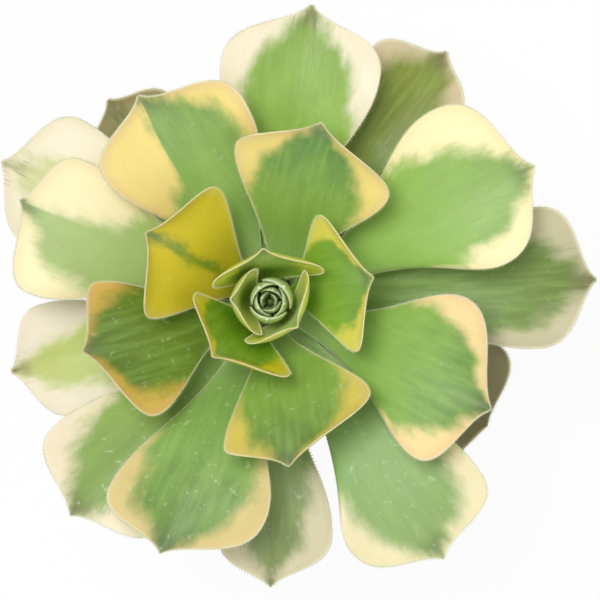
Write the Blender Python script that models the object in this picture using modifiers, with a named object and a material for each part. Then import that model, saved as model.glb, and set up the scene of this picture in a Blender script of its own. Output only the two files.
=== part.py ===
"""Potted aeonium: a rosette of variegated leaves on a short woody stem, in a small plain clay pot.

The origin is the centre of the pot's base, +Z is up. Lengths are in millimetres and become metres
when each mesh is made.
"""

import math

import bmesh
import bpy
import numpy as np

MM = 0.001

# Pot: a plain round clay pot with a thick rim band.
POT_HEIGHT = 74.0
RIM_RADIUS = 37.5
RIM_BAND = 15.0
RIM_STEP = 2.2
BASE_RADIUS = 26.0
WALL = 4.0
FLOOR = 5.0

# Three round drain holes through the floor: (direction in degrees, distance out), radius 3.5.
DRAIN_HOLES = ((90, 14.0), (210, 14.0), (330, 14.0))
DRAIN_RADIUS = 3.5

# Potting mix: fills the pot to below the rim.
FIT_GAP = 0.3
SOIL_TOP = 63.0
SOIL_DOME = 2.0

# Stem: woody, buried at its foot, tapering to the growing point inside the bud.
STEM_FOOT = 46.0
STEM_PROFILE = (
    (4.6, 46.0), (5.8, 48.0), (6.6, 56.0), (6.5, 63.0), (5.9, 69.0), (5.8, 78.0), (6.1, 87.0),
    (6.55, 92.0), (6.4, 98.0), (6.15, 102.5), (5.1, 105.2), (3.3, 108.0), (2.6, 109.2),
    (1.5, 111.2), (0.5, 113.6),
)
STEM_TIP = 114.4

# How the leaves change with age: 0 is the youngest open leaf, 23 the oldest, as (age, value).
ATTACH_RADIUS = ((0, 3.6), (4, 5.3), (8, 6.4), (24, 6.9))
ATTACH_HEIGHT = ((0, 108.0), (6, 104.3), (12, 100.2), (23, 92.5))
START_SLOPE = ((0, 57), (3, 60), (6, 50), (9, 38), (12, 29), (15, 20), (18, 11), (23, 0))
END_SLOPE = ((0, 72), (1, 62), (3, 28), (6, 14), (9, 4), (12, -4), (15, -10), (18, -16), (23, -26))
TIP_HEIGHT = ((0, 131), (3, 133), (6, 131), (9, 126), (12, 119), (15, 110), (18, 101), (20, 96), (23, 88))
MARGIN_RISE = ((0, 5), (3, 6), (6, 5.5), (9, 5), (12, 4.2), (16, 3.2), (23, 2.0))
THICKNESS = ((0, 1.2), (4, 1.8), (12, 2.5), (23, 2.5))
PETIOLE = ((0, 0.12), (6, 0.30), (9, 0.50), (12, 0.56), (23, 0.56))
FLARE = ((3, 0.12), (6, 0.20), (12, 0.30))

# Where along the leaf it is widest, and the rows and columns of its grid.
SHOULDER = 0.70
ROWS = (0, 0.08, 0.20, 0.34, 0.47, 0.58, 0.65, 0.70, 0.75, 0.82, 0.89, 0.94, 0.975, 1)
COLUMNS = (-1.0, -0.68, -0.34, 0.0, 0.34, 0.68, 1.0)
TIP_HALF_WIDTH = 0.25

# Open leaves, youngest first: the direction of the tip in degrees, its reach from the plant's
# axis, then for the left and right margins where each is widest (along the leaf, across it) and
# how full it is from there to the tip.
LEAVES = (
    (177, 9.3, (1.6, 8.3, 0.30), (3.4, 7.6, 0.30)),
    (317, 9.2, (1.4, 11.3, 0.25), (2.4, 11.1, 0.25)),
    (96.5, 12.7, (5.0, 13.2, 0.20), (5.6, 14.0, 0.16)),
    (224.5, 19.3, (9.0, 16.2, 0.14), (11.6, 13.8, 0.14)),
    (12.7, 26, (16.2, 17.6, 0.14), (17.8, 16.6, 0.14)),
    (151, 34.3, (23.7, 17.7, 0.14), (24.2, 18.0, 0.18)),
    (276.6, 40.6, (24.6, 21.8, 0.16), (34.5, 15.0, 0.14)),
    (73.8, 45.5, (34.3, 18.5, 0.18), (32.3, 20.8, 0.22)),
    (195, 47.3, (33.9, 19.8, 0.22), (40.2, 15.4, 0.20)),
    (333.9, 60.6, (43, 21.8, 0.34), (49, 18.8, 0.34)),
    (122.6, 60, (47, 17.8, 0.40), (46, 21.2, 0.45)),
    (246.5, 68, (50, 20.5, 0.45), (58, 17.8, 0.40)),
    (27, 73.8, (57, 23.6, 0.52), (56, 18.2, 0.48)),
    (158, 67.2, (56, 20.5, 0.42), (56, 15, 0.42)),
    (304, 77.8, (65, 19.5, 0.45), (62, 18.0, 0.48)),
    (82, 75, (58, 20.2, 0.42), (59.6, 19.4, 0.42)),
    (227, 74, (60, 19, 0.42), (61, 18, 0.42)),
    (3.8, 82.7, (69, 19, 0.44), (67, 16.2, 0.44)),
    (152.6, 77, (61, 15.5, 0.42), (63, 18.6, 0.42)),
    (270, 73, (59, 15.5, 0.44), (60, 13, 0.42)),
    (54.7, 78, (67, 16, 0.42), (66, 11.8, 0.42)),
    (195.3, 69, (56, 14.5, 0.42), (57, 14.5, 0.42)),
    (330, 64.5, (54.5, 19.5, 0.55), (55, 13.5, 0.45)),
    (129, 67, (54, 14, 0.42), (57, 13, 0.42)),
)
TIP_ANGLE = 36
BLUNT_LEAVES = {22: 60}
# Margins that flare later or sooner than the rest: (petiole share, flare share) by age and side.
OTHER_FLARE = {
    (9, -1): (0.58, 0.20), (10, -1): (0.45, 0.42), (12, -1): (0.66, 0.20),
    (14, 1): (0.42, 0.36), (14, -1): (0.70, 0.16), (22, -1): (0.36, 0.40), (22, 1): (0.36, 0.40),
}

# Bud leaves, outermost first: the direction of the tip in degrees.
BUD_DIRECTIONS = (45, 262, 128, 350, 210, 72, 294, 157, 20)
BUD_RIM = ((1, 5.15), (9, 1.60))
BUD_FOOT = ((1, 3.0), (9, 0.8))
BUD_FOOT_HEIGHT = ((1, 108.9), (9, 113.5))
BUD_TIP_HEIGHT = ((1, 129.0), (5, 126.0), (9, 123.0))
BUD_THICKNESS = ((1, 0.8), (9, 0.4))
BUD_SPREAD = ((0, 52), (0.1, 55), (0.6, 66), (0.72, 64), (0.82, 50), (0.9, 31), (0.96, 12), (1, 2.5))
BUD_ROWS = (0.0, 0.15, 0.32, 0.48, 0.62, 0.74, 0.84, 0.92, 1.0)
BUD_KEEL = 0.14


def at(table, x):
    return float(np.interp(x, [row[0] for row in table], [row[1] for row in table]))


def clear_scene():
    for obj in list(bpy.data.objects):
        bpy.data.objects.remove(obj, do_unlink=True)


def new_collection(name, hidden=False):
    collection = bpy.data.collections.new(name)
    bpy.context.scene.collection.children.link(collection)
    collection.hide_render = hidden
    return collection


def new_material(name, colour, roughness):
    material = bpy.data.materials.new(name)
    material.use_nodes = True
    shader = material.node_tree.nodes["Principled BSDF"]
    shader.inputs["Base Color"].default_value = (*colour, 1.0)
    shader.inputs["Roughness"].default_value = roughness
    return material


def add_object(name, bm, collection, material):
    mesh = bpy.data.meshes.new(name)
    bm.to_mesh(mesh)
    bm.free()
    obj = bpy.data.objects.new(name, mesh)
    collection.objects.link(obj)
    if material:
        mesh.materials.append(material)
    return obj


def bezier(a, b, c, d, t):
    """Points of a cubic curve at each t."""
    t = np.asarray(t, float)[:, None]
    a, b, c, d = (np.asarray(p, float) for p in (a, b, c, d))
    return (1 - t) ** 3 * a + 3 * t * (1 - t) ** 2 * b + 3 * t * t * (1 - t) * c + t**3 * d


def margin_plan(age, side, reach, attach):
    """One margin seen from above, as (along, across) at each row of the grid."""
    along, across, fullness = LEAVES[age][2 if side > 0 else 3]
    petiole, flare = OTHER_FLARE.get((age, side), (at(PETIOLE, age), at(FLARE, age)))
    foot = np.array((attach, 0.44 * attach))
    widest = np.array((along, across))
    tip = np.array((reach, TIP_HALF_WIDTH))
    rows = np.array(ROWS)
    inner = rows <= SHOULDER
    near = np.linalg.norm(widest - foot)
    far = np.linalg.norm(tip - widest)
    angle = math.radians(BLUNT_LEAVES.get(age, TIP_ANGLE))
    plan = np.zeros((len(rows), 2))
    plan[inner] = bezier(
        foot, foot + near * np.array((petiole, 0.03)), widest - (flare * near, 0), widest,
        rows[inner] / SHOULDER,
    )
    plan[~inner] = bezier(
        widest, widest + (fullness * far, 0),
        tip + 0.3 * far * np.array((-math.cos(angle), math.sin(angle))), tip,
        (rows[~inner] - SHOULDER) / (1 - SHOULDER),
    )
    return plan


def leaf_surface(age):
    """The upper face of an open leaf, as rows of points from its foot to its tip."""
    azimuth, reach = math.radians(LEAVES[age][0]), LEAVES[age][1]
    rows = np.array(ROWS)
    foot = np.array((at(ATTACH_RADIUS, age), at(ATTACH_HEIGHT, age)))
    tip = np.array((reach, at(TIP_HEIGHT, age)))
    span = np.linalg.norm(tip - foot)
    rise, fall = math.radians(at(START_SLOPE, age)), math.radians(at(END_SLOPE, age))
    midrib = bezier(
        foot, foot + 0.36 * span * np.array((math.cos(rise), math.sin(rise))),
        tip - 0.34 * span * np.array((math.cos(fall), math.sin(fall))), tip, rows,
    )
    swell = (0.10 + 0.90 * np.sin(np.clip(rows / SHOULDER, 0, 1) * math.pi / 2) ** 1.5) * np.where(
        rows > SHOULDER, np.cos(np.clip((rows - SHOULDER) / (1 - SHOULDER), 0, 1) * math.pi / 2), 1
    )
    lift = at(MARGIN_RISE, age) * swell
    margins = {side: margin_plan(age, side, reach, foot[0]) for side in (1, -1)}
    points = np.zeros((len(rows), len(COLUMNS), 3))
    for column, share in enumerate(COLUMNS):
        side = 1 if share > 0 else -1
        along = midrib[:, 0] + (margins[side][:, 0] - midrib[:, 0]) * share**2
        across = margins[side][:, 1] * share
        points[:, column, 0] = along * math.cos(azimuth) - across * math.sin(azimuth)
        points[:, column, 1] = along * math.sin(azimuth) + across * math.cos(azimuth)
        points[:, column, 2] = midrib[:, 1] + lift * share**2
    return points


def bud_surface(rank):
    """The inner face of a bud leaf, which wraps round the growing point."""
    azimuth = math.radians(BUD_DIRECTIONS[rank - 1])
    foot, rim = at(BUD_FOOT, rank), at(BUD_RIM, rank)
    low, high = at(BUD_FOOT_HEIGHT, rank), at(BUD_TIP_HEIGHT, rank)
    points = np.zeros((len(BUD_ROWS), len(COLUMNS), 3))
    for row, share in enumerate(BUD_ROWS):
        radius = foot + (rim - foot) * math.sin(math.pi / 2 * min(share / 0.62, 1))
        spread = math.radians(at(BUD_SPREAD, share))
        keel = BUD_KEEL * max(0.0, share - 0.5) / 0.5
        for column, across in enumerate(COLUMNS):
            out = radius * (1 + keel * (1 - abs(across)) ** 2)
            angle = azimuth + spread * across
            points[row, column] = (
                out * math.cos(angle), out * math.sin(angle), low + (high - low) * share
            )
    return points


def add_blade(name, points, thickness, taper, collection, material):
    """A grid bent to the given face, then made solid below it, thinner at the margins and tip."""
    rows, columns = points.shape[:2]
    bm = bmesh.new()
    bmesh.ops.create_grid(bm, x_segments=columns - 1, y_segments=rows - 1, size=1)
    bm.verts.ensure_lookup_table()
    for index, vert in enumerate(bm.verts):
        vert.co = points[index // columns, index % columns] * MM
    bm.normal_update()
    middle = bm.faces[:]
    if sum(face.normal.z * face.calc_area() for face in middle) < 0:
        bmesh.ops.reverse_faces(bm, faces=middle)
    obj = add_object(name, bm, collection, material)
    group = obj.vertex_groups.new(name="thickness")
    for index in range(rows * columns):
        group.add([index], float(taper(index // columns, index % columns)), "REPLACE")
    solidify = obj.modifiers.new("Solidify", "SOLIDIFY")
    solidify.thickness = thickness * MM
    solidify.offset = -1
    solidify.vertex_group = "thickness"
    return obj


def add_turned(name, profile, steps, collection, material):
    """A profile of (radius, height) turned round the Z axis; it runs down the outer side."""
    bm = bmesh.new()
    verts = [bm.verts.new((radius * MM, 0, height * MM)) for radius, height in profile]
    for first, second in zip(verts, verts[1:]):
        bm.edges.new((first, second))
    if profile[0][0] > 0:
        bm.edges.new((verts[-1], verts[0]))
    obj = add_object(name, bm, collection, material)
    screw = obj.modifiers.new("Screw", "SCREW")
    screw.steps = steps
    screw.render_steps = steps
    screw.use_merge_vertices = True
    screw.merge_threshold = 0.00001
    return obj


def wall_radius(height):
    """Outer radius of the pot's body at a height."""
    top = RIM_RADIUS - RIM_STEP
    return BASE_RADIUS + (top - BASE_RADIUS) * height / POT_HEIGHT


def add_pot(collection, material):
    shelf = POT_HEIGHT - RIM_BAND
    profile = [
        (0, FLOOR),
        (wall_radius(FLOOR) - WALL - 1.5, FLOOR),
        (wall_radius(FLOOR + 2) - WALL, FLOOR + 2),
        (wall_radius(shelf) - WALL, shelf),
        (RIM_RADIUS - 4.4, POT_HEIGHT - 1.0),
        (RIM_RADIUS - 3.4, POT_HEIGHT),
        (RIM_RADIUS - 1.0, POT_HEIGHT),
        (RIM_RADIUS, POT_HEIGHT - 1.0),
        (RIM_RADIUS - 0.9, shelf + 0.8),
        (RIM_RADIUS - 1.7, shelf),
        (wall_radius(shelf), shelf - 0.4),
        (wall_radius(1.2), 1.2),
        (BASE_RADIUS - 1.2, 0),
        (0, 0),
    ]
    pot = add_turned("pot", profile, 64, collection, material)

    bm = bmesh.new()
    for direction, distance in DRAIN_HOLES:
        angle = math.radians(direction)
        made = bmesh.ops.create_cone(
            bm, cap_ends=True, segments=24, radius1=DRAIN_RADIUS * MM, radius2=DRAIN_RADIUS * MM, depth=4 * FLOOR * MM
        )
        bmesh.ops.translate(
            bm, verts=made["verts"], vec=(distance * math.cos(angle) * MM, distance * math.sin(angle) * MM, 0)
        )
    drills = add_object("drain_drills", bm, collection, material)
    drills.hide_render = True
    drills.hide_viewport = True
    boolean = pot.modifiers.new("Drain holes", "BOOLEAN")
    boolean.operation = "DIFFERENCE"
    boolean.solver = "EXACT"
    boolean.object = drills
    return pot


def add_soil(collection, material):
    bottom = FLOOR + FIT_GAP
    shelf = POT_HEIGHT - RIM_BAND

    def inner(height):
        if height <= shelf:
            return wall_radius(height) - WALL
        share = (height - shelf) / (RIM_BAND - 1.0)
        return (wall_radius(shelf) - WALL) * (1 - share) + (RIM_RADIUS - 4.4) * share

    socket = [(radius + FIT_GAP, height) for radius, height in STEM_PROFILE if height < SOIL_TOP + 0.5]
    profile = [
        (socket[-1][0], SOIL_TOP + SOIL_DOME),
        (14, SOIL_TOP + 0.7 * SOIL_DOME),
        (24, SOIL_TOP + 0.2 * SOIL_DOME),
        (inner(SOIL_TOP) - 1.2, SOIL_TOP - 0.6),
        (inner(SOIL_TOP - 1.5) - FIT_GAP, SOIL_TOP - 1.5),
        (inner(shelf) - FIT_GAP, shelf),
        (wall_radius(FLOOR + 2.4) - WALL - FIT_GAP, FLOOR + 2.4),
        (wall_radius(FLOOR) - WALL - 1.9, bottom),
        (0, bottom),
        (0, STEM_FOOT - FIT_GAP),
    ]
    profile += [(radius, height - (FIT_GAP if height < STEM_FOOT + 1 else 0)) for radius, height in socket]
    bm = bmesh.new()
    verts = [bm.verts.new((radius * MM, 0, height * MM)) for radius, height in profile]
    for first, second in zip(verts, verts[1:]):
        if first.co.x > 0 or second.co.x > 0:
            bm.edges.new((first, second))
    bm.edges.new((verts[-1], verts[0]))
    obj = add_object("potting_mix", bm, collection, material)
    screw = obj.modifiers.new("Screw", "SCREW")
    screw.steps = 40
    screw.render_steps = 40
    screw.use_merge_vertices = True
    screw.merge_threshold = 0.00001
    return obj


def add_stem(collection, material):
    profile = [(0, STEM_TIP)] + [point for point in reversed(STEM_PROFILE)] + [(0, STEM_FOOT)]
    return add_turned("stem", profile, 24, collection, material)


def add_leaf(age, collection, material):
    def taper(row, column):
        along = np.interp(ROWS[row], (0, 0.3, 0.7, 0.9, 1), (0.9, 0.95, 0.9, 0.68, 0.36))
        return along * (1 - 0.6 * abs(COLUMNS[column]) ** 2.2)

    thickness = at(THICKNESS, age) / 0.9
    return add_blade(f"leaf_{age + 1:02d}", leaf_surface(age), thickness, taper, collection, material)


def add_bud_leaf(rank, collection, material):
    def taper(row, column):
        return (1 - 0.4 * BUD_ROWS[row]) * (1 - 0.45 * abs(COLUMNS[column]) ** 2)

    name = f"bud_leaf_{rank}"
    return add_blade(name, bud_surface(rank), at(BUD_THICKNESS, rank), taper, collection, material)


clear_scene()
plant = new_collection("potted_aeonium")
terracotta = new_material("terracotta", (0.56, 0.24, 0.13), 0.85)
earth = new_material("potting_mix", (0.055, 0.036, 0.025), 0.95)
bark = new_material("bark", (0.30, 0.22, 0.14), 0.8)
green = new_material("leaf", (0.27, 0.42, 0.11), 0.45)
lime = new_material("young_leaf", (0.46, 0.55, 0.12), 0.45)

add_pot(plant, terracotta)
add_soil(plant, earth)
add_stem(plant, bark)
for age in range(len(LEAVES)):
    add_leaf(age, plant, green)
for rank in range(1, len(BUD_DIRECTIONS) + 1):
    add_bud_leaf(rank, plant, lime)
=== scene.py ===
import math
import random

import bmesh
import bpy
import numpy as np
from mathutils import Matrix, Vector, noise


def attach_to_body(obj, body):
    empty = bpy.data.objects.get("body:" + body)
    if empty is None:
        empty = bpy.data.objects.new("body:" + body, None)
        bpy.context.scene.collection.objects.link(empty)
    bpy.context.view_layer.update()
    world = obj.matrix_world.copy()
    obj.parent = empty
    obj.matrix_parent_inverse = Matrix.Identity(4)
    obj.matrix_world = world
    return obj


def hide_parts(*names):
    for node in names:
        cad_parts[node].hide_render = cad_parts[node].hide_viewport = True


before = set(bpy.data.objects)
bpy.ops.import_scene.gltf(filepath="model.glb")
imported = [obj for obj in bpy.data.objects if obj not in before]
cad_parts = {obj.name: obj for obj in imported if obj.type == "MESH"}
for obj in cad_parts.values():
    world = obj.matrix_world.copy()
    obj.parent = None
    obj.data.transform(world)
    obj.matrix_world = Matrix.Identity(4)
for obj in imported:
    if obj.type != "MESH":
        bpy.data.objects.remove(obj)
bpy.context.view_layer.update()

mm = 0.001


# colours are written as sRGB hex and used as linear values
def hexColour(text):
    parts = [int(text[i:i + 2], 16) / 255 for i in (0, 2, 4)]
    return tuple(p / 12.92 if p <= 0.04045 else ((p + 0.055) / 1.055) ** 2.4 for p in parts) + (1.0,)


# adds one node; inputs holds plain values, or sockets to link from
def addNode(tree, kind, inputs=None, **settings):
    node = tree.nodes.new(kind)
    for key, value in settings.items():
        setattr(node, key, value)
    for key, value in (inputs or {}).items():
        if isinstance(value, bpy.types.NodeSocket):
            tree.links.new(value, node.inputs[key])
        else:
            node.inputs[key].default_value = value
    return node


def newMaterial(name):
    material = bpy.data.materials.new(name)
    material.use_nodes = True
    return material, material.node_tree, material.node_tree.nodes["Principled BSDF"]


def finishPiece(name, bm, material, nodes, smooth=True):
    mesh = bpy.data.meshes.new(name)
    bm.to_mesh(mesh)
    bm.free()
    if smooth:
        mesh.polygons.foreach_set("use_smooth", [True] * len(mesh.polygons))
    piece = bpy.data.objects.new(name, mesh)
    bpy.context.scene.collection.objects.link(piece)
    mesh.materials.append(material)
    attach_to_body(piece, "root")
    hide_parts(*nodes)
    return piece


def along(table, x):
    return float(np.interp(x, [row[0] for row in table], [row[1] for row in table]))


def bezier(a, b, c, d, t):
    t = np.asarray(t, float)[:, None]
    a, b, c, d = (np.asarray(p, float) for p in (a, b, c, d))
    return (1 - t) ** 3 * a + 3 * t * (1 - t) ** 2 * b + 3 * t * t * (1 - t) * c + t**3 * d


# how leaves change with age, 0 the youngest open leaf, 23 the oldest (mm and degrees)
growth = {
    "attachRadius": ((0, 3.6), (4, 5.3), (8, 6.4), (24, 6.9)),
    "attachHeight": ((0, 108.0), (6, 104.3), (12, 100.2), (23, 92.5)),
    "startSlope": ((0, 57), (3, 60), (6, 50), (9, 38), (12, 29), (15, 20), (18, 11), (23, 0)),
    "endSlope": ((0, 72), (1, 62), (3, 28), (6, 14), (9, 4), (12, -4), (15, -10), (18, -16), (23, -26)),
    "tipHeight": ((0, 131), (3, 133), (6, 131), (9, 126), (12, 119), (15, 110), (18, 101), (20, 96), (23, 88)),
    "marginRise": ((0, 5), (3, 6), (6, 5.5), (9, 5), (12, 4.2), (16, 3.2), (23, 2.0)),
    "thickness": ((0, 1.2), (4, 1.8), (12, 2.5), (23, 2.5)),
    "petiole": ((0, 0.12), (6, 0.30), (9, 0.50), (12, 0.56), (23, 0.56)),
    "flare": ((3, 0.12), (6, 0.20), (12, 0.30)),
    "shoulder": 0.70,
    "tipHalfWidth": 0.25,
    "tipAngle": 36,
    "bluntTip": {22: 60},
    "otherFlare": {
        (9, -1): (0.58, 0.20), (10, -1): (0.45, 0.42), (12, -1): (0.66, 0.20),
        (14, 1): (0.42, 0.36), (14, -1): (0.70, 0.16), (22, -1): (0.36, 0.40), (22, 1): (0.36, 0.40),
    },
    "wideFoot": {(10, -1): 0.16, (15, 1): 0.10},
    "toothPitch": 0.8,
    "toothLength": 0.62,
}

# each open leaf, youngest first: direction of the tip, its reach, where each margin is widest
# (along, across, fullness), the green part's share of the width on each side, and its colours
leaves = (
    dict(turn=177, reach=9.3, left=(1.6, 8.3, 0.30), right=(3.4, 7.6, 0.30), share=(0.50, 0.50),
         green="C6D66A", deep="D6E28A", cream="D0D65E", edge="CFD87A"),
    dict(turn=317, reach=9.2, left=(1.4, 11.3, 0.25), right=(2.4, 11.1, 0.25), share=(0.50, 0.50),
         green="D2DC90", deep="A8C46E", cream="D2DA50", edge="D6DE74"),
    dict(turn=96.5, reach=12.7, left=(5.0, 13.2, 0.20), right=(5.6, 14.0, 0.16), share=(0.52, 0.52),
         green="9CBC48", deep="9AB860", cream="D2DA50", edge="C6CE58"),
    dict(turn=224.5, reach=19.3, left=(9.0, 16.2, 0.14), right=(11.6, 13.8, 0.14), share=(0.62, 0.62),
         green="74A41A", deep="6C9226", cream="CFC51C", edge="D6C850"),
    dict(turn=12.7, reach=26, left=(16.2, 17.6, 0.14), right=(17.8, 16.6, 0.14), share=(0.60, 0.62),
         green="90BA3C", deep="769E4A", cream="EDE366", edge="E8E078"),
    dict(turn=151, reach=34.3, left=(23.7, 17.7, 0.14), right=(24.2, 18.0, 0.18),
         share=(0.10, 0.14), footGreen=0.2,
         green="7E9618", deep="87903C", cream="D2C02C", edge="D2C050"),
    dict(turn=276.6, reach=40.6, left=(24.6, 21.8, 0.16), right=(34.5, 15.0, 0.14), share=(0.66, 0.58),
         green="84A846", deep="68863E", cream="D8C65C", edge="D8C470"),
    dict(turn=73.8, reach=45.5, left=(34.3, 18.5, 0.18), right=(32.3, 20.8, 0.22), share=(0.58, 0.62),
         green="84A84A", deep="648C46", cream="F0DA84", edge="E8D090"),
    dict(turn=195, reach=47.3, left=(33.9, 19.8, 0.22), right=(40.2, 15.4, 0.20), share=(0.68, 0.70),
         green="6C882A", deep="5A7626", cream="CFAF4C", edge="D4B068"),
    dict(turn=333.9, reach=60.6, left=(43, 21.8, 0.34), right=(49, 18.8, 0.34), share=(0.68, 0.68),
         green="8CB454", deep="6E9246", cream="F6DCA0", edge="F2D09A"),
    dict(turn=122.6, reach=60, left=(47, 17.8, 0.40), right=(46, 21.2, 0.45), share=(0.04, 0.72),
         green="90B45C", deep="7E9C56", cream="F0DA88", edge="E6CA90"),
    dict(turn=246.5, reach=68, left=(50, 20.5, 0.45), right=(58, 17.8, 0.40), share=(0.64, 0.66),
         green="80A64E", deep="66883E", cream="D6C482", edge="DEC68C"),
    dict(turn=27, reach=73.8, left=(57, 23.6, 0.52), right=(56, 18.2, 0.48), share=(0.56, 0.66),
         green="93BA56", deep="8CAE60", cream="FDF0BE", edge="FBE7B4"),
    dict(turn=158, reach=67.2, left=(56, 20.5, 0.42), right=(56, 15, 0.42), share=(0.60, 0.12),
         green="ACC67A", deep="A4B678", cream="F6ECC0", edge="F0E0B4"),
    dict(turn=304, reach=77.8, left=(65, 19.5, 0.45), right=(62, 18.0, 0.48), share=(0.70, 0.66),
         green="8AAE66", deep="8CA866", cream="ECE1B8", edge="ECDFB4"),
    dict(turn=82, reach=75, left=(58, 20.2, 0.42), right=(59.6, 19.4, 0.42), share=(0.62, 0.62),
         green="90B648", deep="84A44A", cream="F0E6CC", edge="F0E4CA"),
    dict(turn=227, reach=74, left=(60, 19, 0.42), right=(61, 18, 0.42), share=(0.56, 0.62),
         green="90B054", deep="88A45A", cream="F0E2C4", edge="F0E2CA"),
    dict(turn=3.8, reach=82.7, left=(69, 19, 0.44), right=(67, 16.2, 0.44), share=(0.60, 0.64),
         green="70903E", deep="6C823E", cream="C8C29E", edge="C6BC9E"),
    dict(turn=152.6, reach=77, left=(61, 15.5, 0.42), right=(63, 18.6, 0.42), share=(0.40, 0.46),
         green="DCDE9C", deep="D0D29C", cream="F4EDD8", edge="EFE3CA"),
    dict(turn=270, reach=73, left=(59, 15.5, 0.44), right=(60, 13, 0.42), share=(0.56, 0.56),
         green="8A9E62", deep="84925E", cream="D8D0B0", edge="D6CAAC"),
    dict(turn=54.7, reach=78, left=(67, 16, 0.42), right=(66, 11.8, 0.42), share=(0.72, 0.70),
         green="74862E", deep="848E3A", cream="CFBE98", edge="D2C2A4"),
    dict(turn=195.3, reach=69, left=(56, 14.5, 0.42), right=(57, 14.5, 0.42), share=(0.52, 0.40),
         green="B8C870", deep="C0C876", cream="F0E6D2", edge="ECE0CC"),
    # the two lowest, oldest leaves (this one and the next): their dark olive-brown green, deep, cream and edge
    # colours are the brown of age with painted shade on top, for the shadow they lie in under the rosette
    dict(turn=330, reach=64.5, left=(54.5, 19.5, 0.55), right=(55, 13.5, 0.45), share=(0.60, 0.60),
         green="7C7C4C", deep="706840", cream="8F8660", edge="8C8260"),
    dict(turn=129, reach=67, left=(54, 14, 0.42), right=(57, 13, 0.42), share=(0.60, 0.60),
         green="8A8A50", deep="7A7446", cream="A89E70", edge="94885E"),
)

# bud leaves, outermost first
bud = {
    "turn": (45, 262, 128, 350, 210, 72, 294, 157, 20),
    "rim": ((1, 5.15), (9, 1.60)),
    "foot": ((1, 3.0), (9, 0.8)),
    "footHeight": ((1, 108.9), (9, 113.5)),
    "tipHeight": ((1, 129.0), (5, 126.0), (9, 123.0)),
    "thickness": ((1, 0.8), (9, 0.4)),
    "spread": ((0, 52), (0.1, 55), (0.6, 66), (0.72, 64), (0.82, 50), (0.9, 31), (0.96, 12), (1, 2.5)),
    "keel": 0.14,
    "lean": 0.20,
}


# one margin seen from above, as (along, across) for each row
def marginPlan(age, side, rows, attach):
    leaf = leaves[age]
    far, wide, fullness = leaf["left"] if side > 0 else leaf["right"]
    petiole, flare = growth["otherFlare"].get(
        (age, side), (along(growth["petiole"], age), along(growth["flare"], age)))
    shoulder = growth["shoulder"]
    foot = np.array((attach, 0.44 * attach))
    spring = growth["wideFoot"].get((age, side), 0.03)
    widest = np.array((far, wide))
    tip = np.array((leaf["reach"], growth["tipHalfWidth"]))
    near, rest = np.linalg.norm(widest - foot), np.linalg.norm(tip - widest)
    angle = math.radians(growth["bluntTip"].get(age, growth["tipAngle"]))
    inner = rows <= shoulder
    plan = np.zeros((len(rows), 2))
    plan[inner] = bezier(foot, foot + near * np.array((petiole, spring)), widest - (flare * near, 0),
                         widest, rows[inner] / shoulder)
    plan[~inner] = bezier(widest, widest + (fullness * rest, 0),
                          tip + 0.3 * rest * np.array((-math.cos(angle), math.sin(angle))), tip,
                          (rows[~inner] - shoulder) / (1 - shoulder))
    return plan


# upper face of an open leaf at each row and column, and how far across each point lies
def leafSurface(age, rows, columns):
    leaf, shoulder = leaves[age], growth["shoulder"]
    turn = math.radians(leaf["turn"])
    foot = np.array((along(growth["attachRadius"], age), along(growth["attachHeight"], age)))
    tip = np.array((leaf["reach"], along(growth["tipHeight"], age)))
    span = np.linalg.norm(tip - foot)
    rise, fall = (math.radians(along(growth[k], age)) for k in ("startSlope", "endSlope"))
    midrib = bezier(foot, foot + 0.36 * span * np.array((math.cos(rise), math.sin(rise))),
                    tip - 0.34 * span * np.array((math.cos(fall), math.sin(fall))), tip, rows)
    swell = (0.10 + 0.90 * np.sin(np.clip(rows / shoulder, 0, 1) * math.pi / 2) ** 1.5) * np.where(
        rows > shoulder, np.cos(np.clip((rows - shoulder) / (1 - shoulder), 0, 1) * math.pi / 2), 1)
    lift = along(growth["marginRise"], age) * swell
    margins = {side: marginPlan(age, side, rows, foot[0]) for side in (1, -1)}
    points = np.zeros((len(rows), len(columns), 3))
    across = np.zeros((len(rows), len(columns)))
    for column, share in enumerate(columns):
        side = 1 if share > 0 else -1
        out = midrib[:, 0] + (margins[side][:, 0] - midrib[:, 0]) * share**2
        across[:, column] = margins[side][:, 1] * share
        points[:, column, 0] = out * math.cos(turn) - across[:, column] * math.sin(turn)
        points[:, column, 1] = out * math.sin(turn) + across[:, column] * math.cos(turn)
        points[:, column, 2] = midrib[:, 1] + lift * share**2
    return points, across


def budSurface(rank, rows, columns):
    turn = math.radians(bud["turn"][rank - 1])
    foot, rim = along(bud["foot"], rank), along(bud["rim"], rank)
    low, high = along(bud["footHeight"], rank), along(bud["tipHeight"], rank)
    points = np.zeros((len(rows), len(columns), 3))
    across = np.zeros((len(rows), len(columns)))
    for row, share in enumerate(rows):
        radius = foot + (rim - foot) * math.sin(math.pi / 2 * min(share / 0.62, 1))
        spread = math.radians(along(bud["spread"], share))
        keel = bud["keel"] * max(0.0, share - 0.5) / 0.5
        lean = 1 - bud["lean"] * max(0.0, (share - 0.66) / 0.34) ** 1.5
        for column, side in enumerate(columns):
            out = radius * lean * (1 + keel * (1 - abs(side)) ** 2)
            angle = turn + spread * side
            across[row, column] = out * spread * side
            points[row, column] = (out * math.cos(angle), out * math.sin(angle), low + (high - low) * share)
    return points, across


# mixes a colour over the base where every mask is high; a mask is a value, then the two levels that it
# runs between and what it is worth at each
def paintOver(tree, base, colour, masks):
    share = None
    for value, low, high, start, end in masks:
        mask = addNode(tree, "ShaderNodeMapRange", {
            "Value": value, "From Min": low, "From Max": high, "To Min": start, "To Max": end,
        }, interpolation_type="SMOOTHSTEP").outputs[0]
        if share is None:
            share = mask
        else:
            share = addNode(tree, "ShaderNodeMath", {0: share, 1: mask}, operation="MULTIPLY").outputs[0]
    return addNode(tree, "ShaderNodeMix", {0: share, 6: base, 7: colour}, data_type="RGBA").outputs[2]


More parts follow.
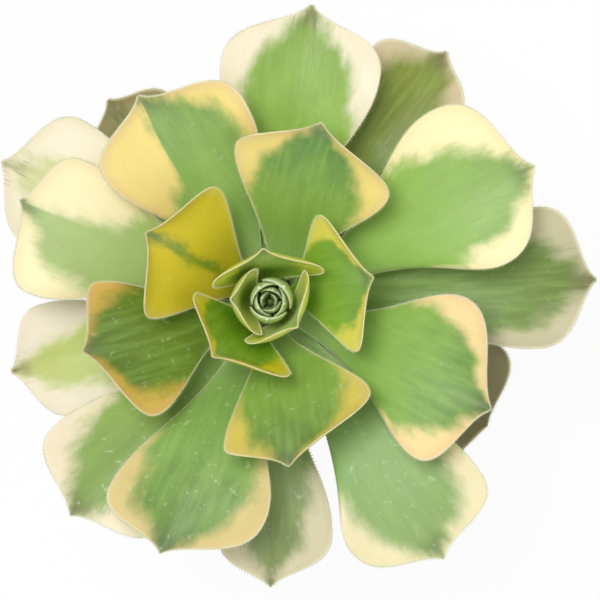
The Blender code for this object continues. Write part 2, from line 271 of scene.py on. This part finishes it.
# noise whose grain has a size in mm across and along the blade
def bladeGrain(tree, uv, acrossMm, alongMm, detail, seed):
    scaled = addNode(tree, "ShaderNodeMapping", {
        "Vector": uv, "Location": (seed, seed * 0.7, 0),
        "Scale": (1 / (acrossMm * mm), 1 / (alongMm * mm), 1),
    }).outputs[0]
    return addNode(tree, "ShaderNodeTexNoise", {
        "Vector": scaled, "Scale": 1.0, "Detail": detail, "Roughness": 0.55,
    }).outputs[0]


# succulent leaf skin, grown and waxy: a soft satin gloss, with light passing a little way in;
# cream and green meet in soft streaks that run lengthwise
def leafSkin(name, look):
    material, tree, shader = newMaterial(name)
    uv = addNode(tree, "ShaderNodeUVMap", uv_map="blade").outputs[0]
    depth, edge, length = (
        addNode(tree, "ShaderNodeAttribute", attribute_name=key).outputs["Fac"]
        for key in ("greenDepth", "edgeDepth", "lengthShare"))
    seed = look["seed"]
    blotch = bladeGrain(tree, uv, 6, 9, 3, seed)
    streak = bladeGrain(tree, uv, 1.6, 14, 3, seed + 4)
    fine = bladeGrain(tree, uv, 0.35, 5, 2, seed + 8)
    cloud = bladeGrain(tree, uv, 5, 7, 3, seed + 12)

    # green part, deeper towards the tip
    clouded = addNode(tree, "ShaderNodeMath", {0: cloud, 1: 0.5, 2: length}, operation="MULTIPLY_ADD").outputs[0]
    green = paintOver(tree, hexColour(look["green"]), hexColour(look["deep"]), [(clouded, 0.70, 1.23, 0, 1)])
    green = paintOver(tree, green, hexColour(look["light"]), [(streak, 0.38, 0.68, 0, 0.22)])
    green = paintOver(tree, green, hexColour(look["deep"]), [(fine, 0.45, 0.75, 0, 0.12)])

    # cream part, warmer towards the rim (edge is in mm)
    cream = paintOver(tree, hexColour(look["cream"]), hexColour(look["edge"]), [(edge, 0.2, 3.2, 0.8, 0)])
    cream = paintOver(tree, cream, hexColour(look["green"]), [(fine, 0.45, 0.75, 0, 0.08)])

    # how far inside the green part a point lies, in mm, with a ragged edge
    ragged = addNode(tree, "ShaderNodeMath", {0: blotch, 1: 8.0, 2: depth}, operation="MULTIPLY_ADD").outputs[0]
    ragged = addNode(tree, "ShaderNodeMath", {0: streak, 1: 1.6, 2: ragged}, operation="MULTIPLY_ADD").outputs[0]
    ragged = addNode(tree, "ShaderNodeMath", {0: ragged, 1: 4.8}, operation="SUBTRACT").outputs[0]
    skin = paintOver(tree, cream, green, [(ragged, -look["soft"], look["soft"], 0, 1)])

    # pale foot of the leaf
    skin = paintOver(tree, skin, hexColour(look["foot"]), [(length, look["pale"], 0, 0, 0.85)])

    # brown flecks, denser at the tip, and the dry tip itself
    tipShare = addNode(tree, "ShaderNodeMapRange", {
        "Value": length, "From Min": 0.8, "From Max": 1.0, "To Min": 0.0, "To Max": look["fleckTip"],
    }, interpolation_type="SMOOTHSTEP").outputs[0]
    specks = bladeGrain(tree, uv, 0.5, 6, 2, seed + 20)
    specks = addNode(tree, "ShaderNodeMath", {0: specks, 1: tipShare}, operation="ADD").outputs[0]
    skin = paintOver(tree, skin, hexColour("6E5A3A"), [
        (specks, 0.70, 0.80, 0, 1), (length, 0.62, 0.85, 0, look["fleck"])])
    skin = paintOver(tree, skin, hexColour(look["tip"]), [
        (length, 0.87, 0.99, 0, 0.8), (ragged, -1.0, 2.0, 0, 1)])

    # thin pale rim
    skin = paintOver(tree, skin, hexColour(look["rim"]), [(edge, 0.55, 0.05, 0, 0.55)])

    # faint pale marks left by dried water
    drops = bladeGrain(tree, uv, 2.6, 2.6, 4, seed + 30)
    skin = paintOver(tree, skin, hexColour("CADBB4"), [(drops, 0.60, 0.70, 0, look["marks"])])

    tree.links.new(skin, shader.inputs["Base Color"])
    gloss = addNode(tree, "ShaderNodeMapRange", {
        "Value": fine, "From Min": 0.3, "From Max": 0.7, "To Min": 0.40, "To Max": 0.52,
    }, interpolation_type="SMOOTHSTEP").outputs[0]
    tree.links.new(gloss, shader.inputs["Roughness"])
    ridges = addNode(tree, "ShaderNodeMath", {0: streak, 1: 0.8}, operation="MULTIPLY").outputs[0]
    height = addNode(tree, "ShaderNodeMath", {0: fine, 1: 0.5, 2: ridges}, operation="MULTIPLY_ADD").outputs[0]
    bump = addNode(tree, "ShaderNodeBump", {"Height": height, "Strength": 0.35, "Distance": 0.12 * mm})
    tree.links.new(bump.outputs[0], shader.inputs["Normal"])
    shader.inputs["IOR"].default_value = 1.42
    shader.inputs["Subsurface Weight"].default_value = 0.22
    shader.inputs["Subsurface Radius"].default_value = (0.9, 1.0, 0.35)
    shader.inputs["Subsurface Scale"].default_value = 1.6 * mm
    return material


# a grid bent to the surface, with its own measures kept as attributes, then made solid below
def bendBlade(points, across, rows, columns, shares, seed, wave, footGreen=1.0):
    bm = bmesh.new()
    bmesh.ops.create_grid(
        bm, x_segments=len(columns) - 1, y_segments=len(rows) - 1, size=1, calc_uvs=True)
    bm.verts.ensure_lookup_table()
    keys = {key: bm.verts.layers.float.new(key) for key in ("greenDepth", "edgeDepth", "lengthShare")}
    middle = len(columns) // 2
    steps = np.linalg.norm(np.diff(points[:, middle], axis=0), axis=1)
    travel = np.concatenate(([0], np.cumsum(steps)))
    place = {}
    for index, vert in enumerate(bm.verts):
        row, column = divmod(index, len(columns))
        share = columns[column]
        half = abs(across[row, -1 if share > 0 else 0])
        spot = Vector(points[row, column])
        ripple = noise.noise(spot / 11 + Vector((seed, 0, 0))) * wave * (0.25 + abs(share) ** 2)
        groove = 0.30 * wave * math.exp(-(across[row, column] / 1.3) ** 2)
        vert.co = (spot + Vector((0, 0, ripple - groove))) * mm
        side = shares[0] if share > 0 else shares[1]
        hold = float(np.interp(rows[row], (0, 0.30, 0.46, 0.60, 0.72, 0.88, 0.96, 1.0),
                               (1.25 * footGreen, 1.15 * footGreen, (0.5 + 0.62 * side) * footGreen,
                                (0.16 + 0.92 * side) * footGreen, side, side * 1.02,
                                side + 0.12, 1.2)))
        place[vert] = (across[row, column] * mm, travel[row] * mm)
        tipGap = float(np.linalg.norm(points[row, column] - points[-1, middle]))
        vert[keys["greenDepth"]] = (hold - abs(share)) * half
        vert[keys["edgeDepth"]] = min((1 - abs(share)) * half, tipGap)
        vert[keys["lengthShare"]] = rows[row]
    layer = bm.loops.layers.uv.new("blade")
    for face in bm.faces:
        for loop in face.loops:
            loop[layer].uv = place[loop.vert]
    bm.normal_update()
    if sum(face.normal.z * face.calc_area() for face in bm.faces) < 0:
        bmesh.ops.reverse_faces(bm, faces=bm.faces[:])
    return bm


# short stiff teeth along a margin, each a small four-sided cone
def addTeeth(bm, line, inward, pitch, length, seed):
    rng = random.Random(seed)
    steps = np.linalg.norm(np.diff(line, axis=0), axis=1)
    travel = np.concatenate(([0], np.cumsum(steps)))
    start, end = travel[-1] * 0.16, travel[-1] - 0.9
    spot = start
    while spot < end:
        here = np.array([np.interp(spot, travel, line[:, k]) for k in range(3)])
        ahead = np.array([np.interp(spot + 0.3, travel, line[:, k]) for k in range(3)])
        back = np.array([np.interp(spot, travel, inward[:, k]) for k in range(3)])
        forward = Vector(ahead - here).normalized()
        out = Vector(here - back).normalized()
        out = (out - forward * out.dot(forward)).normalized()
        aim = (out + forward * 0.45).normalized()
        flat = aim.cross(forward).normalized()
        size = length * rng.uniform(0.75, 1.15)
        turn = Matrix((flat.cross(aim), flat, aim)).transposed().to_4x4()
        centre = Vector(here) + aim * (size * 0.5 - 0.12)
        made = bmesh.ops.create_cone(
            bm, cap_ends=True, segments=4, radius1=0.20, radius2=0.03, depth=size + 0.1)
        toPlace = Matrix.Scale(mm, 4) @ Matrix.Translation(centre) @ turn
        bmesh.ops.transform(bm, matrix=toPlace, verts=made["verts"])
        spot += pitch * rng.uniform(0.85, 1.15)


def solidBlade(piece, thickness, count, columns, taper):
    group = piece.vertex_groups.new(name="thickness")
    for index in range(count):
        group.add([index], float(taper(index // columns, index % columns)), "REPLACE")
    solidify = piece.modifiers.new("Solidify", "SOLIDIFY")
    solidify.thickness = thickness * mm
    solidify.offset = -1
    solidify.vertex_group = "thickness"


# rows crowd towards the tip and columns towards the margins, where the outline turns fast
leafRows = np.concatenate((
    np.linspace(0, 0.70, 30), 0.70 + 0.30 * (1 - (1 - np.linspace(0, 1, 29)[1:]) ** 1.5)))
leafColumns = np.sin(np.linspace(-math.pi / 2, math.pi / 2, 29))
dried = {6: 0.25, 8: 0.25, 11: 0.40, 16: 0.50, 10: 0.2, 14: 0.3, 19: 0.35}
flecks = {
    0: 0, 1: 0, 2: 0, 3: 0, 15: 0.6, 16: 0.7, 17: 0.7, 18: 0.6, 19: 0.9, 20: 0.9, 21: 0.7, 22: 0.6, 23: 0.9,
}

for age, leaf in enumerate(leaves):
    points, across = leafSurface(age, leafRows, leafColumns)
    wave = along(((0, 0.2), (6, 0.5), (23, 0.9)), age)
    bm = bendBlade(points, across, leafRows, leafColumns, leaf["share"], age * 3.1, wave,
                   leaf.get("footGreen", 1.0))
    count = len(bm.verts)
    look = dict(leaf, seed=age * 5.3, light="A6C66A" if age > 3 else "B8C84C", pale=0.34 if age > 3 else 0.2,
                foot="A8C67C" if age > 5 else leaf["green"], fleck=flecks.get(age, 0.15), fleckTip=0.12,
                tip="7C7656" if age > 14 else "5F6E4C", rim="EFE6CE" if age > 8 else "EBDCB8",
                marks=dried.get(age, 0.08), soft=1.6 if age < 6 else 2.6)
    skin = leafSkin(f"succulent leaf skin {age + 1:02d}", look)
    piece = finishPiece(f"leafBlade_{age + 1:02d}", bm, skin, [f"leaf_{age + 1:02d}"])

    def leafTaper(row, column):
        body = np.interp(leafRows[row], (0, 0.3, 0.7, 0.9, 1), (0.9, 0.95, 0.9, 0.66, 0.28))
        return body * (1 - 0.78 * abs(leafColumns[column]) ** 3)

    solidBlade(piece, along(growth["thickness"], age) / 0.9, count, len(leafColumns), leafTaper)

    # the teeth are a second mesh, a piece of their own beside the blade, so that the blade alone is thickened
    bm = bmesh.new()
    for side in (0, -1):
        addTeeth(bm, points[:, side], points[:, 1 if side == 0 else -2], growth["toothPitch"],
                 growth["toothLength"] * (0.7 if age < 3 else 1.0), age * 10 + side)
    finishPiece(f"leafTeeth_{age + 1:02d}", bm, skin, [], smooth=False)
print("open leaves made")

budRows = np.concatenate((
    np.linspace(0, 0.6, 14), 0.6 + 0.4 * (1 - (1 - np.linspace(0, 1, 17)[1:]) ** 1.4)))
budColumns = np.sin(np.linspace(-math.pi / 2, math.pi / 2, 21))
for rank in range(1, 10):
    points, across = budSurface(rank, budRows, budColumns)
    bm = bendBlade(points, across, budRows, budColumns, (0.72, 0.72), rank * 2.3, 0.12)
    count = len(bm.verts)
    look = dict(seed=rank * 7.1, green="CCE49A", deep="C2DCA2", cream="E2EEB4", edge="E8F0C0", light="DCECB4",
                pale=0.15, foot="CCE298", fleck=0.0, fleckTip=0.0, tip="C8D4A4", rim="E4ECBE",
                marks=0.0, soft=1.4)
    skin = leafSkin(f"bud leaf skin {rank}", look)
    piece = finishPiece(f"budBlade_{rank}", bm, skin, [f"bud_leaf_{rank}"])

    def budTaper(row, column):
        return (1 - 0.12 * budRows[row]) * (1 - 0.35 * abs(budColumns[column]) ** 3)

    solidBlade(piece, along(bud["thickness"], rank), count, len(budColumns), budTaper)
print("bud made")

# plain fired clay pot: matt terracotta, turned, with a pale mineral bloom
pot = {
    "height": 74.0, "rimRadius": 37.5, "rimBand": 15.0, "rimStep": 2.2, "baseRadius": 26.0,
    "wall": 4.0, "floor": 5.0, "steps": 128,
    "drainAngles": (90, 210, 330), "drainDistance": 14.0, "drainRadius": 3.5,
}


def wallRadius(height):
    top = pot["rimRadius"] - pot["rimStep"]
    return pot["baseRadius"] + (top - pot["baseRadius"]) * height / pot["height"]


# turns a closed or axis-to-axis outline of (radius, height) about the upright axis
def turned(profile, steps, closed):
    bm = bmesh.new()
    verts = [bm.verts.new((radius * mm, 0, height * mm)) for radius, height in profile]
    edges = [bm.edges.new(pair) for pair in zip(verts, verts[1:])]
    if closed:
        edges.append(bm.edges.new((verts[-1], verts[0])))
    bmesh.ops.spin(bm, geom=verts + edges, axis=(0, 0, 1), cent=(0, 0, 0), angle=math.tau,
                   steps=steps, use_merge=True)
    bmesh.ops.remove_doubles(bm, verts=bm.verts[:], dist=0.002 * mm)
    bmesh.ops.recalc_face_normals(bm, faces=bm.faces[:])
    return bm


def rounded(profile, radius, count=4):
    out = []
    for index, point in enumerate(profile):
        here = Vector(point)
        if index in (0, len(profile) - 1):
            out.append(here)
            continue
        before, after = Vector(profile[index - 1]) - here, Vector(profile[index + 1]) - here
        cut = min(radius, before.length * 0.45, after.length * 0.45)
        start, end = here + before.normalized() * cut, here + after.normalized() * cut
        for step in range(count + 1):
            t = step / count
            out.append(start * (1 - t) ** 2 + here * 2 * t * (1 - t) + end * t * t)
    return [tuple(v) for v in out]


clay, tree, shader = newMaterial("fired clay, matt")
place = addNode(tree, "ShaderNodeTexCoord").outputs["Object"]
body = addNode(tree, "ShaderNodeTexNoise", {"Vector": place, "Scale": 60.0, "Detail": 4.0}).outputs[0]
speck = addNode(tree, "ShaderNodeTexNoise", {"Vector": place, "Scale": 1600.0, "Detail": 2.0}).outputs[0]
bloom = addNode(tree, "ShaderNodeTexNoise", {"Vector": place, "Scale": 35.0, "Detail": 6.0,
                "Roughness": 0.65}).outputs[0]
bloomShare = addNode(tree, "ShaderNodeMapRange", {"Value": bloom, "From Min": 0.52, "From Max": 0.75,
                     "To Min": 0.0, "To Max": 0.45}, interpolation_type="SMOOTHSTEP").outputs[0]
speckShare = addNode(tree, "ShaderNodeMapRange", {"Value": speck, "From Min": 0.58, "From Max": 0.68,
                     "To Min": 0.0, "To Max": 0.35}).outputs[0]
fired = addNode(tree, "ShaderNodeMix", {0: body, 6: hexColour("B4623E"), 7: hexColour("C67A52")},
                data_type="RGBA").outputs[2]
for share, colour in ((bloomShare, "D9BCA4"), (speckShare, "8E4A30")):
    fired = addNode(tree, "ShaderNodeMix", {0: share, 6: fired, 7: hexColour(colour)},
                    data_type="RGBA").outputs[2]
tree.links.new(fired, shader.inputs["Base Color"])
shader.inputs["Roughness"].default_value = 0.86
rings = addNode(tree, "ShaderNodeMapping", {"Vector": place, "Scale": (40, 40, 1400)}).outputs[0]
turning = addNode(tree, "ShaderNodeTexNoise", {"Vector": rings, "Scale": 1.0, "Detail": 2.0}).outputs[0]
relief = addNode(tree, "ShaderNodeMath", {0: turning, 1: speck}, operation="ADD").outputs[0]
grit = addNode(tree, "ShaderNodeBump", {"Height": relief, "Strength": 0.5, "Distance": 0.00025})
tree.links.new(grit.outputs[0], shader.inputs["Normal"])

shelf = pot["height"] - pot["rimBand"]
outline = [
    (0, pot["floor"]),
    (wallRadius(pot["floor"]) - pot["wall"] - 1.5, pot["floor"]),
    (wallRadius(pot["floor"] + 2) - pot["wall"], pot["floor"] + 2),
    (wallRadius(shelf) - pot["wall"], shelf),
    (pot["rimRadius"] - 4.2, pot["height"]),
    (pot["rimRadius"], pot["height"]),
    (pot["rimRadius"] - 1.0, shelf),
    (wallRadius(shelf), shelf - 0.4),
    (wallRadius(0), 0),
    (0, 0),
]
bm = turned(rounded(outline, 1.1), pot["steps"], False)
potBody = finishPiece("potBody", bm, clay, ["pot"])
drills = bmesh.new()
for angle in pot["drainAngles"]:
    wide, turn = pot["drainRadius"] * mm, math.radians(angle)
    made = bmesh.ops.create_cone(drills, cap_ends=True, segments=48, radius1=wide, radius2=wide, depth=20 * mm)
    spot = Vector((math.cos(turn), math.sin(turn), 0)) * (pot["drainDistance"] * mm)
    bmesh.ops.translate(drills, verts=made["verts"], vec=spot)
mesh = bpy.data.meshes.new("drainDrills")
drills.to_mesh(mesh)
drills.free()
drainDrills = bpy.data.objects.new("drainDrills", mesh)
bpy.context.scene.collection.objects.link(drainDrills)
drainDrills.hide_render = True
drainDrills.hide_viewport = True
bore = potBody.modifiers.new("Drain holes", "BOOLEAN")
bore.object = drainDrills
bore.solver = "EXACT"
print("pot made")

# potting mix: damp dark crumbs with pale grit, uneven on top
soil = {"top": 63.0, "dome": 2.0, "gap": 0.3, "crumbs": 520}
dampMix, tree, shader = newMaterial("potting mix, damp crumbs and grit")
place = addNode(tree, "ShaderNodeTexCoord").outputs["Object"]
crumb = addNode(tree, "ShaderNodeTexVoronoi", {"Vector": place, "Scale": 900.0})
tone = addNode(tree, "ShaderNodeSeparateColor", {0: crumb.outputs["Color"]}).outputs[0]
pale = addNode(tree, "ShaderNodeMapRange", {"Value": tone, "From Min": 0.90, "From Max": 0.96,
               "To Min": 0.0, "To Max": 0.8}).outputs[0]
earth = addNode(tree, "ShaderNodeMix", {0: tone, 6: hexColour("2E221A"), 7: hexColour("5A4432")},
                data_type="RGBA").outputs[2]
earth = addNode(tree, "ShaderNodeMix", {0: pale, 6: earth, 7: hexColour("B8AA94")},
                data_type="RGBA").outputs[2]
tree.links.new(earth, shader.inputs["Base Color"])
shader.inputs["Roughness"].default_value = 0.95
lumps = addNode(tree, "ShaderNodeBump", {
    "Height": crumb.outputs["Distance"], "Strength": 0.8, "Distance": 0.6 * mm,
}, invert=True)
tree.links.new(lumps.outputs[0], shader.inputs["Normal"])


def innerRadius(height):
    if height <= shelf:
        return wallRadius(height) - pot["wall"]
    share = (height - shelf) / (pot["rimBand"] - 1.0)
    return (wallRadius(shelf) - pot["wall"]) * (1 - share) + (pot["rimRadius"] - 4.4) * share


profile = [(0, soil["top"] + soil["dome"] - 0.4)]
profile += [(r, soil["top"] + soil["dome"] * (1 - (r / 31) ** 2) - 0.4) for r in np.linspace(2, 30, 22)]
profile += [(innerRadius(61.5) - soil["gap"], 61.5), (innerRadius(shelf) - soil["gap"], shelf),
            (wallRadius(7.4) - pot["wall"] - soil["gap"], 7.4), (wallRadius(5) - pot["wall"] - 1.9, 5.3), (0, 5.3)]
bm = turned(profile, 96, False)
for vert in bm.verts:
    if vert.co.z > 62.2 * mm and math.hypot(vert.co.x, vert.co.y) > 1e-5:
        vert.co.z += (noise.noise(vert.co * 420) * 0.45 + noise.noise(vert.co * 130) * 0.4) * mm
crumbRng = random.Random(11)
for index in range(soil["crumbs"]):
    spread, turn = 30.5 * math.sqrt(crumbRng.uniform(0.05, 1)), crumbRng.uniform(0, math.tau)
    size = crumbRng.uniform(0.35, 1.1)
    height = soil["top"] + soil["dome"] * (1 - (spread / 31) ** 2) - 0.2
    made = bmesh.ops.create_icosphere(bm, subdivisions=1, radius=size * mm)
    stretch = Vector((crumbRng.uniform(0.7, 1.4), crumbRng.uniform(0.7, 1.3), crumbRng.uniform(0.5, 0.9)))
    for vert in made["verts"]:
        knock = 1 + 0.35 * noise.noise(vert.co * 1500 + Vector((index, 0, 0)))
        vert.co = Vector(a * b * knock for a, b in zip(vert.co, stretch))
        vert.co += Vector((spread * math.cos(turn), spread * math.sin(turn), height)) * mm
finishPiece("soilBed", bm, dampMix, ["potting_mix"], smooth=False)
print("potting mix made")

# short woody stem: grey-brown bark, ringed with the scars of shed leaves
stemProfile = (
    (6.6, 56.0), (6.5, 63.0), (5.9, 69.0), (5.8, 78.0), (6.1, 87.0), (6.55, 92.0), (6.4, 98.0),
    (6.15, 102.5), (5.1, 105.2), (3.3, 108.0), (2.6, 109.2), (1.5, 111.2), (0.5, 113.6),
)
bark, tree, shader = newMaterial("stem bark, dry and scarred")
place = addNode(tree, "ShaderNodeTexCoord").outputs["Object"]
grainMap = addNode(tree, "ShaderNodeMapping", {"Vector": place, "Scale": (900, 900, 220)}).outputs[0]
fibre = addNode(tree, "ShaderNodeTexNoise", {"Vector": grainMap, "Scale": 1.0, "Detail": 5.0}).outputs[0]
up = addNode(tree, "ShaderNodeSeparateXYZ", {0: place}).outputs[2]
young = addNode(tree, "ShaderNodeMapRange", {"Value": up, "From Min": 0.094, "From Max": 0.106}).outputs[0]
wood = addNode(tree, "ShaderNodeMix", {0: fibre, 6: hexColour("6E5C48"), 7: hexColour("A8937A")},
               data_type="RGBA").outputs[2]
wood = addNode(tree, "ShaderNodeMix", {0: young, 6: wood, 7: hexColour("9DB070")},
               data_type="RGBA").outputs[2]
tree.links.new(wood, shader.inputs["Base Color"])
shader.inputs["Roughness"].default_value = 0.8
rough = addNode(tree, "ShaderNodeBump", {"Height": fibre, "Strength": 0.6, "Distance": 0.0004})
tree.links.new(rough.outputs[0], shader.inputs["Normal"])
heights = np.concatenate(([46.0], np.linspace(47, 104, 150), np.linspace(104.4, 113.6, 14), [114.4]))
radii = np.interp(heights, [46, 48] + [p[1] for p in stemProfile] + [114.4],
                  [4.6, 5.8] + [p[0] for p in stemProfile] + [0])
bm = turned([(0, 46.0)] + list(zip(radii, heights)), 64, False)
for vert in bm.verts:
    radius = math.hypot(vert.co.x, vert.co.y) / mm
    height = vert.co.z / mm
    if radius < 2 or height > 91:
        continue
    angle = math.atan2(vert.co.y, vert.co.x)
    # scars sit on a spiral, so each ridge climbs as it goes round
    climb = (height / 3.1 + angle / math.tau * 3) % 1
    scar = -0.55 * math.exp(-((climb - 0.5) / 0.13) ** 2) * (0.6 + 0.4 * math.cos(angle * 5 + height * 0.8))
    change = scar + 0.25 * noise.noise(vert.co * 500)
    vert.co.x *= (radius + change) / radius
    vert.co.y *= (radius + change) / radius
finishPiece("stemWood", bm, bark, ["stem"])
print("stem made")

# stage: plain pale floor that reads white to the camera and keeps a faint shadow
paper, tree, shader = newMaterial("white paper floor")
shader.inputs["Base Color"].default_value = hexColour("F4F4F2")
shader.inputs["Roughness"].default_value = 0.9
lightPath = addNode(tree, "ShaderNodeLightPath")
seen = addNode(tree, "ShaderNodeMath", {0: lightPath.outputs["Is Camera Ray"], 1: 0.93}, operation="MULTIPLY")
glow = addNode(tree, "ShaderNodeEmission", {"Color": (1, 1, 1, 1), "Strength": 1.0})
blend = addNode(tree, "ShaderNodeMixShader", {0: seen.outputs[0], 1: shader.outputs[0], 2: glow.outputs[0]})
tree.links.new(blend.outputs[0], tree.nodes["Material Output"].inputs["Surface"])
bm = bmesh.new()
bmesh.ops.create_grid(bm, x_segments=1, y_segments=1, size=3)
mesh = bpy.data.meshes.new("floor")
bm.to_mesh(mesh)
bm.free()
mesh.materials.append(paper)
floor = bpy.data.objects.new("floor", mesh)
bpy.context.scene.collection.objects.link(floor)

studio = {
    "key": dict(place=(-0.26, 0.24, 1.40), size=0.5, power=11),
    "fill": dict(place=(0.7, -0.5, 1.2), size=1.0, power=3.2),
}
for name, lamp in studio.items():
    light = bpy.data.lights.new(name, "AREA")
    light.size = lamp["size"]
    light.energy = lamp["power"]
    body = bpy.data.objects.new(name, light)
    body.location = lamp["place"]
    body.rotation_euler = (Vector((0, 0, 0.1)) - Vector(lamp["place"])).to_track_quat("-Z", "Y").to_euler()
    bpy.context.scene.collection.objects.link(body)

world = bpy.data.worlds.new("studio")
world.use_nodes = True
background = world.node_tree.nodes["Background"]
background.inputs["Color"].default_value = (1, 1, 1, 1)
background.inputs["Strength"].default_value = 0.50
bpy.context.scene.world = world

camera = bpy.data.cameras.new("camera")
camera.sensor_width = 36
camera.lens = 168
camera.clip_end = 20
viewer = bpy.data.objects.new("camera", camera)
viewer.location = (7.5 * mm, 0.25 * mm, 812 * mm)
bpy.context.scene.collection.objects.link(viewer)
bpy.context.scene.camera = viewer
bpy.context.scene.view_settings.view_transform = "Standard"
